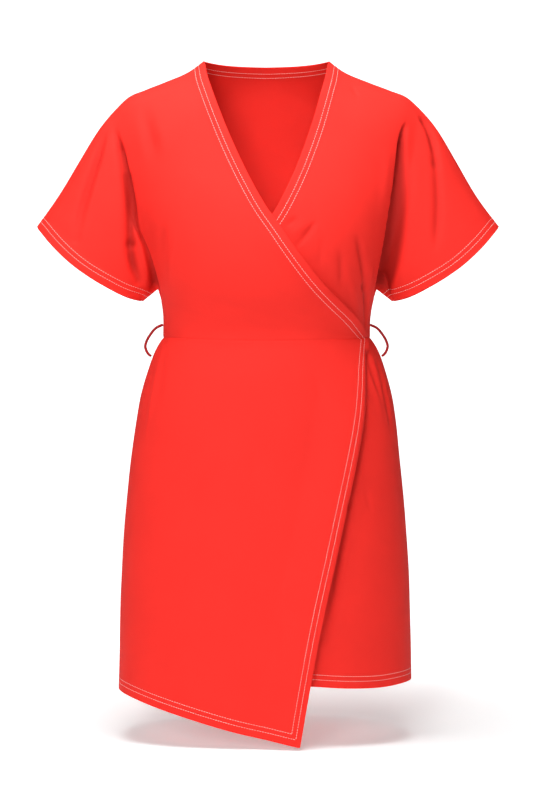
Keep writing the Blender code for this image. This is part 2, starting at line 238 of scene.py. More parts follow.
def waist_drop(x, side):
    half_width = BODY["half_width"][-1]
    return SIDE_WAIST_DROP + WAIST_DIP[side] * (1 - np.clip(x / half_width, -1, 1) ** 2)


def section_out(angle, half_width):
    """How far out a section's point lies, by its angle from the side seam."""
    cosine = np.cos(angle)
    return half_width * np.sign(cosine) * np.abs(cosine) ** (2 / SECTION_POWER)


def section_depth(out, half_width, depth):
    share = np.clip(np.abs(out) / half_width, 0, 1)
    return depth * (1 - share ** SECTION_POWER) ** (1 / SECTION_POWER)


def side_seam(drop):
    return np.stack([read(drop, BODY["drop"], BODY["half_width"]), drop], axis=1)


def columns(source, *names):
    return np.stack([source[name] for name in names], axis=1)


armpit_drop = SLEEVE_TURN["drop"][-1]
top_out = np.linspace(NECK_HALF_WIDTH, SHOULDER["out"][-1], 60)
top_line = np.stack([top_out, shoulder_drop(top_out)], axis=1)
under_line = np.concatenate([
    columns(SLEEVE_END, "out", "drop")[-1:],
    side_seam(np.linspace(armpit_drop, SIDE_WAIST_DROP, 16)),
])


def sleeve_depth(out, drop):
    """Half the thickness of the sleeve, round between its top and the seam below."""
    places = np.stack([out.ravel(), drop.ravel()], axis=1)
    to_top = nearest(places, top_line)[0]
    to_seam = nearest(places, under_line)[0]
    lean = (to_seam - to_top) / (to_seam + to_top + 1e-9)
    return (SLEEVE_HALF_DEPTH * np.sqrt(1 - lean ** 2)).reshape(out.shape)


def bodice_depth(x, drop, side):
    """How far the bodice stands from the plane of its side seams."""
    half_width = read(drop, BODY["drop"], BODY["half_width"])
    depth = read(drop, BODY["drop"], BODY[side])
    below = np.clip((drop - shoulder_drop(x)) / SHOULDER_ROLL, 0, 1)
    body = section_depth(x, half_width, depth) * np.sqrt(1 - (1 - below) ** 2)
    above_waist = smooth_step((SIDE_WAIST_DROP - drop) / (SIDE_WAIST_DROP - SLEEVE_END["drop"][-1]))
    sleeve = sleeve_depth(np.abs(x), drop) * above_waist
    return (body ** BLEND_POWER + sleeve ** BLEND_POWER) ** (1 / BLEND_POWER)


def sleeve_lean(x, drop):
    """How far both sleeves hang towards the wearer's left."""
    outer = smooth_step((np.abs(x) - NECK_HALF_WIDTH) / SLEEVE_LEAN_GROWTH)
    return SLEEVE_LEAN * outer * smooth_step((SIDE_WAIST_DROP - drop) / SLEEVE_LEAN_FADE)


def on_bodice(x, drop, side, shut=None):
    """Put places on the bodice's form. Those that are shut lie on the side's own seam."""
    depth = bodice_depth(x, drop, side)
    if shut is not None:
        depth[shut] = 0
    place = x + sleeve_lean(x, drop), FACING[side] * (depth + SEAM_GAP / 2), -drop
    return np.stack(place, axis=-1)


def rows_down_the_side():
    """Places down the sleeve turn to the armpit, then down the side seam to the waist."""
    turn = walk(columns(SLEEVE_TURN, "out", "drop"), closer(ROWS_TO_ARMPIT + 1, start=1.0, end=1.5))
    seam_end = SIDE_WAIST_DROP - SEAM_GAP / 2
    shares = closer(ROWS_OF_SIDE + 1, end=1.5, reach=0.15)
    seam = side_seam(armpit_drop + (seam_end - armpit_drop) * shares)
    return np.concatenate([turn, seam[1:]])


def sleeve_places(turn):
    """The sleeve's cloth, from the turn to the sleeve end, as out and drop."""
    shares = closer(SLEEVE_COLUMNS + 1, end=3.5, reach=0.16)
    out = turn[0, 0] + (SHOULDER["out"][-1] - turn[0, 0]) * shares
    top = np.stack([out, shoulder_drop(out)], axis=1)
    down = closer(len(turn), start=1.0, end=1.5)
    end = walk(columns(SLEEVE_END, "out", "drop"), down)
    lower = turn[-1] + (end[-1] - turn[-1]) * shares[:, None]
    return fill(top, lower, turn, end, shares, down)


def squares(index):
    """The four-sided faces of a grid of point numbers."""
    corners = (index[:-1, :-1], index[1:, :-1], index[1:, 1:], index[:-1, 1:])
    return np.stack(corners, axis=-1).reshape(-1, 4)


def point_normals(points, faces):
    diagonals = points[faces[:, 2]] - points[faces[:, 0]], points[faces[:, 3]] - points[faces[:, 1]]
    face_normals = np.cross(*diagonals)
    face_normals /= np.linalg.norm(face_normals, axis=1, keepdims=True)
    normals = np.zeros_like(points)
    for corner in range(4):
        np.add.at(normals, faces[:, corner], face_normals)
    return normals / np.linalg.norm(normals, axis=1, keepdims=True)


def cloth_lengths(points, grids):
    """Where each point lies on the flat cloth, measured along the grids, in metres."""
    flat = np.zeros((len(points), 2))
    for number, grid in enumerate(grids):
        place = points[grid]
        across = np.linalg.norm(np.diff(place, axis=1), axis=2)
        down = np.linalg.norm(np.diff(place, axis=0), axis=2)
        u = np.concatenate([np.zeros((len(grid), 1)), np.cumsum(across, axis=1)], axis=1)
        v = np.concatenate([np.zeros((1, grid.shape[1])), np.cumsum(down, axis=0)], axis=0)
        first = place[:, :1, 0] if number == 0 else flat[grid[:, 0], 0][:, None]
        fresh = np.stack([first + u, v - place[:1, :, 2]], axis=-1)
        keep = slice(None) if number == 0 else slice(1, None)
        flat[grid[:, keep]] = fresh[:, keep]
    return flat


# Each crease runs through three places. Its height is where it is strongest, and start and end
# are the shares of it left at its two ends.
CREASE_COLUMNS = "x1 drop1 x2 drop2 x3 drop3 width height start end"
CREASE_FADE = 0.4
UNEVENNESS = 0.00022


def creases(points, source, form, side):
    height = np.zeros(len(points))
    t = np.linspace(0, 1, 15)
    for x1, drop1, x2, drop2, x3, drop3, width, high, start, end in zip(*source.values()):
        weights = (1 - t) * (1 - 2 * t), 4 * t * (1 - t), t * (2 * t - 1)
        x = weights[0] * x1 + weights[1] * x2 + weights[2] * x3
        drop = weights[0] * drop1 + weights[1] * drop2 + weights[2] * drop3
        gap, share = nearest(points, form(x, drop, side))
        fade = np.minimum(start + (1 - start) * smooth_step(share / CREASE_FADE),
                          end + (1 - end) * smooth_step((1 - share) / CREASE_FADE))
        height += high * fade * np.exp(-(gap / width) ** 2)
    return height


def slight_unevenness(points):
    """Cloth never hangs quite true: long shallow waves, the same across every seam."""
    x, y, z = points.T
    waves = np.sin(31 * x + 9 * z + 4 * y) + np.sin(23 * z - 17 * x + 1.3)
    waves += 0.7 * np.sin(52 * x - 13 * z + 21 * y + 0.6) + 0.6 * np.sin(61 * z + 25 * x + 2.1)
    return UNEVENNESS * waves


def hem_height(gap):
    """Turned-in cloth stands a little proud, and each row of stitches pulls it in."""
    proud = 1 - smooth_step((gap - HEM_DEPTH) / HEM_SOFTNESS + 0.5)
    pulled = sum(np.exp(-((gap - row) / STITCH_PULL_WIDTH) ** 2) for row in STITCH_ROWS)
    return HEM_PROUD * proud - STITCH_PULL * pulled


def seam_height(gap):
    """A seam sinks along its own line, and stands a little proud beside it."""
    beside = np.exp(-((gap - 0.0045) / 0.003) ** 2)
    return SEAM_PROUD * beside - SEAM_SINK * np.exp(-(gap / 0.0013) ** 2)


def gap_to(points, lines):
    return np.min([nearest(points, line)[0] for line in lines], axis=0)


def set_inputs(node, values):
    for name, value in values.items():
        node.inputs[name].default_value = value


def new_material(name, values):
    """A material, and what its look is made with: its nodes, their links and its surface."""
    material = bpy.data.materials.new(name)
    material.use_nodes = True
    nodes = material.node_tree.nodes
    surface = nodes["Principled BSDF"]
    set_inputs(surface, values)
    return material, nodes, material.node_tree.links.new, surface


def add_node(nodes, kind, values=None, operation=None):
    """Add a shader node, with values for its inputs by their names or numbers."""
    node = nodes.new("ShaderNode" + kind)
    if operation:
        node.operation = operation
    set_inputs(node, values or {})
    return node


def crepe(name, base, deep):
    """Red crepe: a matt, pebbled weave of fine twisted threads, a shade uneven in its dye. Its
    colour is drawn darker in its folds by painted shade, read from the hollow attribute.
    """
    look = {"Roughness": 0.75, "Specular IOR Level": 0.20}
    material, nodes, link, surface = new_material(name, look)
    flat = add_node(nodes, "UVMap")
    flat.uv_map = "cloth"
    threads = {"Scale": 640.0, "Distortion": 1.6, "Detail": 1.0, "Detail Scale": 1.5}
    weave = add_node(nodes, "Math", operation="MULTIPLY")
    for number, direction in enumerate("XY"):
        wave = add_node(nodes, "TexWave", threads)
        wave.bands_direction = direction
        link(flat.outputs["UV"], wave.inputs["Vector"])
        link(wave.outputs["Fac"], weave.inputs[number])
    pebble = add_node(nodes, "TexNoise", {"Scale": 1100.0, "Detail": 2.0})
    link(flat.outputs["UV"], pebble.inputs["Vector"])
    grain = add_node(nodes, "Math", operation="ADD")
    link(weave.outputs[0], grain.inputs[0])
    link(pebble.outputs["Fac"], grain.inputs[1])
    bump = add_node(nodes, "Bump", {"Strength": 0.35, "Distance": 0.00012})
    link(grain.outputs[0], bump.inputs["Height"])
    link(bump.outputs["Normal"], surface.inputs["Normal"])
    dye = add_node(nodes, "TexNoise", {"Scale": 14.0, "Detail": 3.0})
    link(flat.outputs["UV"], dye.inputs["Vector"])
    shade = add_node(nodes, "Math", {1: 0.35}, "MULTIPLY_ADD")
    link(grain.outputs[0], shade.inputs[0])
    link(dye.outputs["Fac"], shade.inputs[2])
    ramp = add_node(nodes, "ValToRGB")
    ramp.color_ramp.elements[0].position = 0.30
    ramp.color_ramp.elements[0].color = (*deep, 1.0)
    ramp.color_ramp.elements[1].color = (*base, 1.0)
    link(shade.outputs[0], ramp.inputs["Fac"])
    # Painted shade: the colour is darkened by up to FOLD_SHADE where the hollow attribute says a
    # fold is deep
    painted_shade_map = add_node(nodes, "Attribute")
    painted_shade_map.attribute_name = "hollow"
    painted_shade_factor = add_node(nodes, "Math", {1: -FOLD_SHADE, 2: 1.0}, "MULTIPLY_ADD")
    link(painted_shade_map.outputs["Fac"], painted_shade_factor.inputs[0])
    tone = add_node(nodes, "VectorMath", operation="SCALE")
    link(ramp.outputs["Color"], tone.inputs[0])
    link(painted_shade_factor.outputs[0], tone.inputs["Scale"])
    link(tone.outputs[0], surface.inputs["Base Color"])
    return material


red_crepe = crepe("red_crepe", (0.870, 0.0243, 0.0163), (0.800, 0.0214, 0.0144))


def new_object(name, data):
    """Put an object with this data in the scene."""
    thing = bpy.data.objects.new(name, data)
    bpy.context.scene.collection.objects.link(thing)
    return thing


def new_piece(name, points, faces, material):
    mesh = bpy.data.meshes.new(name)
    mesh.from_pydata(np.reshape(points, (-1, 3)).tolist(), [], faces)
    mesh.shade_smooth()
    mesh.materials.append(material)
    return new_object(name, mesh)


def lay_flat(mesh, flat):
    """Give a mesh its cloth map: where each point lies on the flat cloth."""
    corners = np.empty(len(mesh.loops), dtype=int)
    mesh.loops.foreach_get("vertex_index", corners)
    mesh.uv_layers.new(name="cloth").data.foreach_set("uv", flat[corners].ravel())


def sew_cloth(name, node, points, grids, facing, hems, seams, folds, layer, shut, level):
    """Make one panel: a thin shell of cloth on the form, with its hems turned in.

    hems and seams are lines on the form. folds is the height of its creases, and layer that of its
    layer. The points that are shut lie in a side seam, and the level ones in the waist seam. The
    hollow attribute carries painted shade: the deeper a point lies in a fold, the darker its colour
    is drawn. Returns the panel's points and normals on the outside and the inside, for its stitches.
    """
    faces = np.concatenate([squares(grid) for grid in grids])
    normals = point_normals(points, faces)
    if np.sum(normals[:, 1]) * facing < 0:
        faces = faces[:, ::-1]
        normals = -normals
    normals[level, 2] = 0
    normals[shut, 1] = 0
    normals /= np.linalg.norm(normals, axis=1, keepdims=True)
    hem_gap = gap_to(points, hems)
    height = folds + layer + slight_unevenness(points)
    height += hem_height(hem_gap) + seam_height(gap_to(points, seams))
    outer = points + normals * height[:, None]
    turned = 1 - smooth_step((hem_gap - HEM_DEPTH) / HEM_STEP + 0.5)
    thick = CLOTH + HEM_CLOTH * turned
    inner = outer - normals * thick[:, None]

    directed = {(a, b) for face in faces.tolist() for a, b in zip(face, face[1:] + face[:1])}
    edge = np.array(sorted(pair for pair in directed if pair[::-1] not in directed))
    away = np.zeros_like(points)
    outward = np.cross(outer[edge[:, 1]] - outer[edge[:, 0]], normals[edge[:, 0]])
    outward /= np.linalg.norm(outward, axis=1, keepdims=True)
    np.add.at(away, edge[:, 0], outward)
    np.add.at(away, edge[:, 1], outward)
    rim = np.unique(edge)
    away[rim] /= np.linalg.norm(away[rim], axis=1, keepdims=True)
    folded = (hem_gap < FOLDED_EDGE) & ~shut & ~level
    count = len(points)
    ring = np.full((5, count), -1)
    ring[0] = np.arange(count)
    ring[4] = ring[0] + count
    rounded = []
    middle = (outer[rim] + inner[rim]) / 2
    half = thick[rim, None] / 2
    for step in (1, 2, 3):
        turn = np.pi * step / 4
        ring[step, rim] = 2 * count + (step - 1) * len(rim) + np.arange(len(rim))
        rounded.append(middle + normals[rim] * half * np.cos(turn)
                       + away[rim] * half * np.sin(turn) * folded[rim, None])
    every = faces.tolist() + (faces[:, [0, 3, 2, 1]] + count).tolist()
    for low, high in zip(ring[:-1], ring[1:]):
        every += list(zip(low[edge[:, 1]], low[edge[:, 0]], high[edge[:, 0]], high[edge[:, 1]]))
    panel = new_piece(name, np.concatenate([outer, inner, *rounded]), every, red_crepe)
    panel.data.set_sharp_from_angle(angle=np.radians(60))
    made_from = np.concatenate([ring[0], ring[0], rim, rim, rim])
    lay_flat(panel.data, cloth_lengths(points, grids)[made_from])
    # Painted shade: how deep in a fold each point lies, so the crepe draws its colour darker there
    hollow = panel.data.attributes.new(name="hollow", type="FLOAT", domain="POINT")
    hollow.data.foreach_set("value", smooth_step(-folds / FOLD_DEPTH)[made_from])
    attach(panel, "root")
    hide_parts(node)
    return (outer, normals), (inner, -normals)


def cotton(name):
    """White sewing cotton, twisted, with a soft shine."""
    look = {"Roughness": 0.55, "Sheen Weight": 0.2}
    material, nodes, link, surface = new_material(name, look)
    place = add_node(nodes, "TexCoord")
    twist = add_node(nodes, "TexNoise", {"Scale": 900.0})
    link(place.outputs["Object"], twist.inputs["Vector"])
    ramp = add_node(nodes, "ValToRGB")
    ramp.color_ramp.elements[0].color = (0.74, 0.50, 0.47, 1.0)
    ramp.color_ramp.elements[1].color = (0.92, 0.80, 0.77, 1.0)
    link(twist.outputs["Fac"], ramp.inputs["Fac"])
    link(ramp.outputs["Color"], surface.inputs["Base Color"])
    return material


white_cotton = cotton("white_cotton")

# One stitch: a short plump length of thread that tapers to its ends. A new sphere's faces come in
# an order that changes from run to run, so they are sorted.
bpy.ops.mesh.primitive_uv_sphere_add(segments=6, ring_count=4, radius=0.5)
ball = bpy.context.object
stitch_points = np.array([(corner.co.z, corner.co.y, -corner.co.x) for corner in ball.data.vertices])
stitch_points *= STITCH_SIZE
stitch_faces = sorted(tuple(face.vertices) for face in ball.data.polygons)
bpy.data.objects.remove(ball)


def row_at(surface, lines, run_gap, hem_gap, depth):
    """The places where a row of stitches, a depth in from the hem, crosses a grid's lines.

    lines holds point numbers, one line each row, starting at the hem.
    """
    gap = run_gap[lines]
    inside = (gap[:, :-1] < depth) & (gap[:, 1:] >= depth)
    found = inside.any(axis=1)
    step = inside.argmax(axis=1)
    rows = np.arange(len(lines))
    before = lines[rows, step]
    after = lines[rows, step + 1]
    share = (depth - run_gap[before]) / np.where(found, run_gap[after] - run_gap[before], 1)
    kept = found & ((1 - share) * hem_gap[before] + share * hem_gap[after] > depth * 0.97)
    before, after, share = before[kept], after[kept], share[kept][:, None]
    points, normals = surface
    return (1 - share) * points[before] + share * points[after], normals[before]


def between(at, length, values):
    """Values at places along a row, straight between its points."""
    return np.stack([np.interp(at, length, column) for column in values.T], axis=1)


def stitch(name, rows):
    """Copy the stitch along every row, and join the copies."""
    places = []
    for points, normals in rows:
        length = walked(points)
        total = int(length[-1] / STITCH_PITCH)
        at = (np.arange(total) + 0.5) * length[-1] / total
        start = between(at - STITCH_SIZE[0] / 2, length, points)
        end = between(at + STITCH_SIZE[0] / 2, length, points)
        middle = (start + end) / 2
        along = end - start
        along /= np.linalg.norm(along, axis=1, keepdims=True)
        up = between(at, length, normals)
        side = np.cross(up, along)
        side /= np.linalg.norm(side, axis=1, keepdims=True)
        up = np.cross(along, side)
        turn = np.stack([along, side, up], axis=1)
        lifted = middle + up * STITCH_SIZE[2] * STITCH_LIFT
        places.append(lifted[:, None] + np.einsum("sc,kcd->ksd", stitch_points, turn))
    copies = np.concatenate(places)
    count = len(stitch_points)
    faces = [tuple(np.array(face) + number * count)
             for number in range(len(copies)) for face in stitch_faces]
    piece = new_piece(name, copies, faces, white_cotton)
    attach(piece, "root")


def stitch_hems(name, surfaces, runs, hem_gap):
    """Sew the rows along each run of hem, on both surfaces of the cloth."""
    stitch(name, [row_at(surface, lines, run_gap, hem_gap, depth)
                  for lines, run_gap in runs for depth in STITCH_ROWS for surface in surfaces])


def sleeve_end_line(side, own_side):
    end = walk(columns(SLEEVE_END, "out", "drop"), np.linspace(0, 1, 41))
    line = on_bodice(end[:, 0] * own_side, end[:, 1], side)
    line[[0, -1], 1] = 0
    return line


def seam_line(line, own_side):
    """A seam in the plane of the sides, along a line of out and drop."""
    x = line[:, 0] * own_side
    return np.stack([x + sleeve_lean(x, line[:, 1]), np.zeros(len(line)), -line[:, 1]], axis=1)


def wrap_line(edge):
    drop = np.linspace(0, edge["drop"][-1], 70)
    line = on_bodice(read(drop, edge["drop"], edge["x"]), drop, "front")
    line[0, 1] = 0
    return line


right_wrap_line = wrap_line(WRAP_EDGE)
left_wrap_line = wrap_line(UNDER_WRAP_EDGE)
neck_x = np.linspace(-NECK_HALF_WIDTH, NECK_HALF_WIDTH, 41)
neck_drop = BACK_NECK_DIP * (1 - (neck_x / NECK_HALF_WIDTH) ** 2)
neck_line = on_bodice(neck_x, neck_drop, "back")
neck_line[[0, -1], 1] = 0
waist_x = section_out(np.linspace(np.pi, 0, 61), BODY["half_width"][-1])
waist_lines = {
    side: np.stack([waist_x, facing * section_depth(waist_x, BODY["half_width"][-1], BODY[side][-1]),
                    -waist_drop(waist_x, side)], axis=1)
    for side, facing in FACING.items()
}

BACK_BODICE_CREASES = table(
    CREASE_COLUMNS,
    (0.2000, 0.100, 0.1880, 0.190, 0.1640, 0.285, 0.0100, -0.0024, 0.1, 0.2),
    (0.2180, 0.105, 0.2080, 0.170, 0.1950, 0.235, 0.0110, 0.0012, 0.0, 0.0),
    (-0.2010, 0.095, -0.1900, 0.185, -0.1660, 0.280, 0.0090, -0.0028, 0.1, 0.2),
    (-0.2230, 0.120, -0.2150, 0.190, -0.2020, 0.255, 0.0120, 0.0010, 0.0, 0.0),
    (0.1280, 0.378, 0.1180, 0.330, 0.1130, 0.270, 0.0080, -0.0015, 0.8, 0.0),
    (0.0850, 0.380, 0.0820, 0.345, 0.0860, 0.305, 0.0075, -0.0011, 0.9, 0.0),
    (0.0300, 0.381, 0.0260, 0.350, 0.0330, 0.300, 0.0100, -0.0009, 0.9, 0.0),
    (-0.0580, 0.380, -0.0570, 0.340, -0.0650, 0.290, 0.0085, -0.0012, 0.9, 0.0),
    (-0.1220, 0.378, -0.1150, 0.335, -0.1160, 0.280, 0.0080, -0.0016, 0.8, 0.0),
    (0.0600, 0.100, 0.1000, 0.150, 0.1350, 0.230, 0.0140, -0.0010, 0.0, 0.0),
    (-0.0700, 0.090, -0.1100, 0.145, -0.1380, 0.215, 0.0130, -0.0009, 0.0, 0.0),
)


def off_sides(points, hold=SEAM_HOLD):
    """0 on the seams in the plane of the sides, easing to 1 where they no longer hold the cloth."""
    return smooth_step(np.abs(points[:, 1]) / hold)


def fading_creases(points, source, form, side, waist_line):
    """Creases that flatten where the cloth is held in its seams."""
    off_waist = smooth_step(nearest(points, waist_line)[0] / WAIST_HOLD + 0.15)
    return creases(points, source, form, side) * off_sides(points) * off_waist


side_rows = rows_down_the_side()
back_shares = closer(BACK_COLUMNS + 1)
down_shares = np.concatenate([
    ARMPIT_SHARE * closer(ROWS_TO_ARMPIT + 1, start=1.5),
    ARMPIT_SHARE + (1 - ARMPIT_SHARE) * closer(ROWS_OF_SIDE + 1, end=1.5, reach=0.15)[1:],
])
back_top_x = -side_rows[0, 0] + 2 * side_rows[0, 0] * back_shares
neck_dip = BACK_NECK_DIP * (1 - np.clip(back_top_x / NECK_HALF_WIDTH, -1, 1) ** 2)
on_shoulder = np.abs(back_top_x) >= NECK_HALF_WIDTH
back_top = np.stack([back_top_x, np.where(on_shoulder, shoulder_drop(back_top_x), neck_dip)], axis=1)
waist_out = section_out(np.pi * (1 - back_shares), BODY["half_width"][-1])
back_bottom = np.stack([waist_out, waist_drop(waist_out, "back") - SEAM_GAP / 2], axis=1)
body = fill(back_top, back_bottom, side_rows * (-1, 1), side_rows, back_shares, down_shares)


def with_sleeves(body, own_sides):
    """Join a sleeve's grid to a body's on each of its own sides, and say which points are shut."""
    index = np.arange(body[..., 0].size).reshape(body.shape[:2])
    shut = np.zeros(index.size, dtype=bool)
    places, grids = body.reshape(-1, 2), [index]
    sleeve = sleeve_places(side_rows[:ROWS_TO_ARMPIT + 1])
    for own_side, column in own_sides:
        added = sleeve[:, 1:] * (own_side, 1)
        numbers = len(places) + np.arange(added[..., 0].size).reshape(added.shape[:2])
        grid = np.concatenate([index[:ROWS_TO_ARMPIT + 1, column][:, None], numbers], axis=1)
        closed = np.zeros(added.shape[:2], dtype=bool)
        closed[[0, -1]] = True
        places = np.concatenate([places, added.reshape(-1, 2)])
        shut = np.concatenate([shut, closed.ravel()])
        shut[index[ROWS_TO_ARMPIT:, column]] = True
        grids.append(grid)
    return places, grids, shut


places, grids, shut = with_sleeves(body, ((1, -1), (-1, 0)))
body_index, left_sleeve, right_sleeve = grids
shut[body_index[0]] = on_shoulder
level = np.zeros(len(places), dtype=bool)
level[body_index[-1]] = True
points = on_bodice(places[:, 0], places[:, 1], "back", shut)
hems = [neck_line, right_wrap_line[:12], left_wrap_line[:12], sleeve_end_line("back", 1),
        sleeve_end_line("back", -1)]
seams = [seam_line(line, own_side) for line in (top_line, under_line) for own_side in (1, -1)]
seams.append(waist_lines["back"])
folds = fading_creases(points, BACK_BODICE_CREASES, on_bodice, "back", waist_lines["back"])
back_grids = [body_index, left_sleeve, right_sleeve[:, ::-1]]
surfaces = sew_cloth("back_bodice", "bodice_back", points, back_grids, FACING["back"], hems, seams,
                     folds, 0.0, shut, level)
hem_gap = gap_to(points, hems)
runs = [
    (body_index.T[np.abs(back_top_x) < NECK_HALF_WIDTH + NECK_REACH], gap_to(points, hems[:3])),
    (left_sleeve[:, ::-1], nearest(points, hems[3])[0]),
    (right_sleeve[:, ::-1], nearest(points, hems[4])[0]),
]
stitch_hems("back_bodice_stitches", surfaces, runs, hem_gap)


# ---- Front bodices ----------------------------------------------------------
# Two fronts in red crepe, each cut in one with the front half of its sleeve. The right front
# crosses over the left from the V of the neck to the side of the waist, and both wrap edges are
# turned in and held by two rows of stitches.

FRONT_COLUMNS = 126
UNDER_LAYER_INSET = 0.0040
UNDER_LAYER_EASE = 0.045
UNDER_LAYER_HOLD = 0.022
WRAP_LIFT = 0.0065
WRAP_LIFT_WIDTH = 0.045
WRAP_LIFT_START, WRAP_LIFT_GROWTH = 0.225, 0.06
WRAP_LIFT_END, WRAP_LIFT_FADE = 0.384, 0.03
FALL_GROWTH = 0.04
FALL_SOFTNESS = 0.02

OVERLAP_EDGE = table(
    "drop     x",
    (0.3830, 0.1405),
    (0.4117, 0.1374),
    (0.4620, 0.1324),
    (0.6822, 0.0923),
    (0.7661, 0.0743),
    (0.8510, 0.0589),
    (0.9313, 0.0455),
)

RIGHT_FRONT_CREASES = table(
    CREASE_COLUMNS,
    (-0.1930, 0.165, -0.1885, 0.2150, -0.1870, 0.2560, 0.0064, -0.0085, 0.4, 0.85),
    (-0.1870, 0.256, -0.1850, 0.2780, -0.1765, 0.3050, 0.0060, -0.0085, 0.5, 0.5),
    (-0.1752, 0.245, -0.1712, 0.2680, -0.1671, 0.2921, 0.0045, 0.0014, 0.0, 0.4),
    (-0.2131, 0.085, -0.2220, 0.1100, -0.2271, 0.1569, 0.0050, 0.0026, 0.5, 0.0),
    (-0.2130, 0.084, -0.2430, 0.1650, -0.2625, 0.2490, 0.0062, -0.0062, 0.4, 0.3),
    (-0.1671, 0.080, -0.1600, 0.1080, -0.1530, 0.1450, 0.0095, -0.0032, 0.6, 0.2),
    (-0.1430, 0.090, -0.1400, 0.1150, -0.1380, 0.1420, 0.0100, 0.0016, 0.0, 0.0),
    (-0.1238, 0.235, -0.1292, 0.2786, -0.1373, 0.3327, 0.0085, 0.0016, 0.0, 0.0),
    (-0.1400, 0.222, -0.1415, 0.2500, -0.1440, 0.2850, 0.0075, -0.0018, 0.0, 0.0),
)
LEFT_FRONT_CREASES = table(
    CREASE_COLUMNS,
    (0.0396, 0.263, 0.0560, 0.2430, 0.0664, 0.2264, 0.0042, -0.0032, 0.2, 0.0),
    (0.0275, 0.233, 0.0345, 0.2280, 0.0409, 0.2224, 0.0036, -0.0022, 0.2, 0.0),
    (0.0320, 0.249, 0.0430, 0.2390, 0.0520, 0.2290, 0.0045, 0.0013, 0.0, 0.0),
    (0.0752, 0.244, 0.0735, 0.2700, 0.0718, 0.2976, 0.0050, -0.0013, 0.0, 0.0),
    (0.0985, 0.260, 0.1010, 0.2909, 0.1025, 0.3244, 0.0055, -0.0028, 0.0, 0.0),
    (0.1188, 0.240, 0.1285, 0.2761, 0.1335, 0.3150, 0.0055, -0.0042, 0.0, 0.7),
    (0.1335, 0.315, 0.1370, 0.3378, 0.1385, 0.3620, 0.0060, -0.0062, 0.5, 0.4),
    (0.1110, 0.297, 0.1205, 0.3338, 0.1310, 0.3600, 0.0060, 0.0022, 0.0, 0.2),
    (0.1412, 0.280, 0.1420, 0.2960, 0.1429, 0.3110, 0.0048, 0.0015, 0.0, 0.0),
    (0.1147, 0.039, 0.1200, 0.0465, 0.1254, 0.0548, 0.0030, -0.0012, 0.2, 0.0),
    (0.1650, 0.110, 0.1620, 0.1650, 0.1560, 0.2250, 0.0085, 0.0015, 0.0, 0.0),
    (0.2010, 0.115, 0.2030, 0.1780, 0.2010, 0.2400, 0.0090, 0.0010, 0.0, 0.0),
    (0.2145, 0.084, 0.2260, 0.1100, 0.2310, 0.1450, 0.0058, -0.0060, 0.9, 0.6),
    (0.2310, 0.145, 0.2325, 0.2083, 0.2266, 0.2732, 0.0062, -0.0044, 0.6, 0.0),
)
# Where each sleeve falls away beside the body: the line of the fall, how wide the hollow beyond
# it is, how deep it is and how soft its near edge is
SLEEVE_FALLS = {
    -1: (table("drop x wide", (0.085, 0.2080, 0.006), (0.100, 0.2049, 0.008), (0.124, 0.1968, 0.011),
               (0.152, 0.1901, 0.013), (0.190, 0.1825, 0.012), (0.233, 0.1752, 0.006),
               (0.268, 0.1616, 0.005), (0.295, 0.1535, 0.009), (0.319, 0.1475, 0.016)),
         0.0115, 0.0060),
    1: (table("drop x wide", (0.085, 0.1905, 0.007), (0.106, 0.1833, 0.010), (0.154, 0.1765, 0.017),
              (0.198, 0.1703, 0.024), (0.246, 0.1630, 0.027), (0.284, 0.1562, 0.026),
              (0.319, 0.1500, 0.022)),
        0.0260, 0.0045),
}


def sleeve_fall(points, own_side):
    """A hollow beside the body: steep at its near edge, rising evenly to the sleeve beyond."""
    line, depth, near = SLEEVE_FALLS[own_side]
    drop = -points[:, 2]
    beyond = points[:, 0] * own_side - read(drop, line["drop"], line["x"])
    remaining = 1 - beyond / read(drop, line["drop"], line["wide"])
    rise = (remaining + np.sqrt(remaining ** 2 + FALL_SOFTNESS)) / 2
    along = smooth_step((drop - line["drop"][0]) / FALL_GROWTH)
    return -depth * smooth_step(beyond / near + 0.5) * rise * along


def edge_x(drop):
    """Where the over layer's front edge lies."""
    wrap = read(drop, WRAP_EDGE["drop"], WRAP_EDGE["x"])
    overlap = read(drop, OVERLAP_EDGE["drop"], OVERLAP_EDGE["x"])
    return np.where(drop < WRAP_EDGE["drop"][-1], wrap, overlap)


def near_edge(points, width):
    """1 at the over layer's edge and beyond it, easing to 0 at a width inside it."""
    return smooth_step(1 - (edge_x(-points[:, 2]) - points[:, 0]) / width)


def wrap_lift(points):
    """How far the over front stands off the under front near its wrap edge."""
    drop = -points[:, 2]
    grown = smooth_step((drop - WRAP_LIFT_START) / WRAP_LIFT_GROWTH)
    fading = smooth_step((WRAP_LIFT_END - drop) / WRAP_LIFT_FADE)
    return WRAP_LIFT * near_edge(points, WRAP_LIFT_WIDTH) * grown * fading


def under_layer_inset(points):
    """How far the under layer lies inside the form, where the over layer covers it."""
    covered = smooth_step(1 + (edge_x(-points[:, 2]) - points[:, 0]) / UNDER_LAYER_EASE)
    return UNDER_LAYER_INSET * covered * off_sides(points, UNDER_LAYER_HOLD)


def section_angle(out, half_width):
    """The angle from its own side seam of a section's point that lies beyond the middle."""
    return np.pi - np.arccos((out / half_width) ** (SECTION_POWER / 2))


# The skirt's sections, by the drop at its side seams
SKIRT_LEAN, SKIRT_LEAN_GROWTH = -0.0018, 0.2
SKIRT = table(
    "drop   half_width front  back",
    (0.382, 0.1425, 0.106, 0.088),
    (0.390, 0.1480, 0.107, 0.091),
    (0.400, 0.1535, 0.109, 0.094),
    (0.411, 0.1580, 0.111, 0.097),
    (0.429, 0.1640, 0.114, 0.101),
    (0.462, 0.1730, 0.117, 0.107),
    (0.495, 0.1787, 0.119, 0.113),
    (0.545, 0.1850, 0.121, 0.120),
    (0.600, 0.1905, 0.123, 0.125),
    (0.678, 0.1963, 0.127, 0.128),
    (0.760, 0.2000, 0.130, 0.129),
    (0.940, 0.2022, 0.133, 0.130),
)


def skirt_lean(drop):
    return SKIRT_LEAN * smooth_step((drop - SKIRT["drop"][3]) / SKIRT_LEAN_GROWTH)


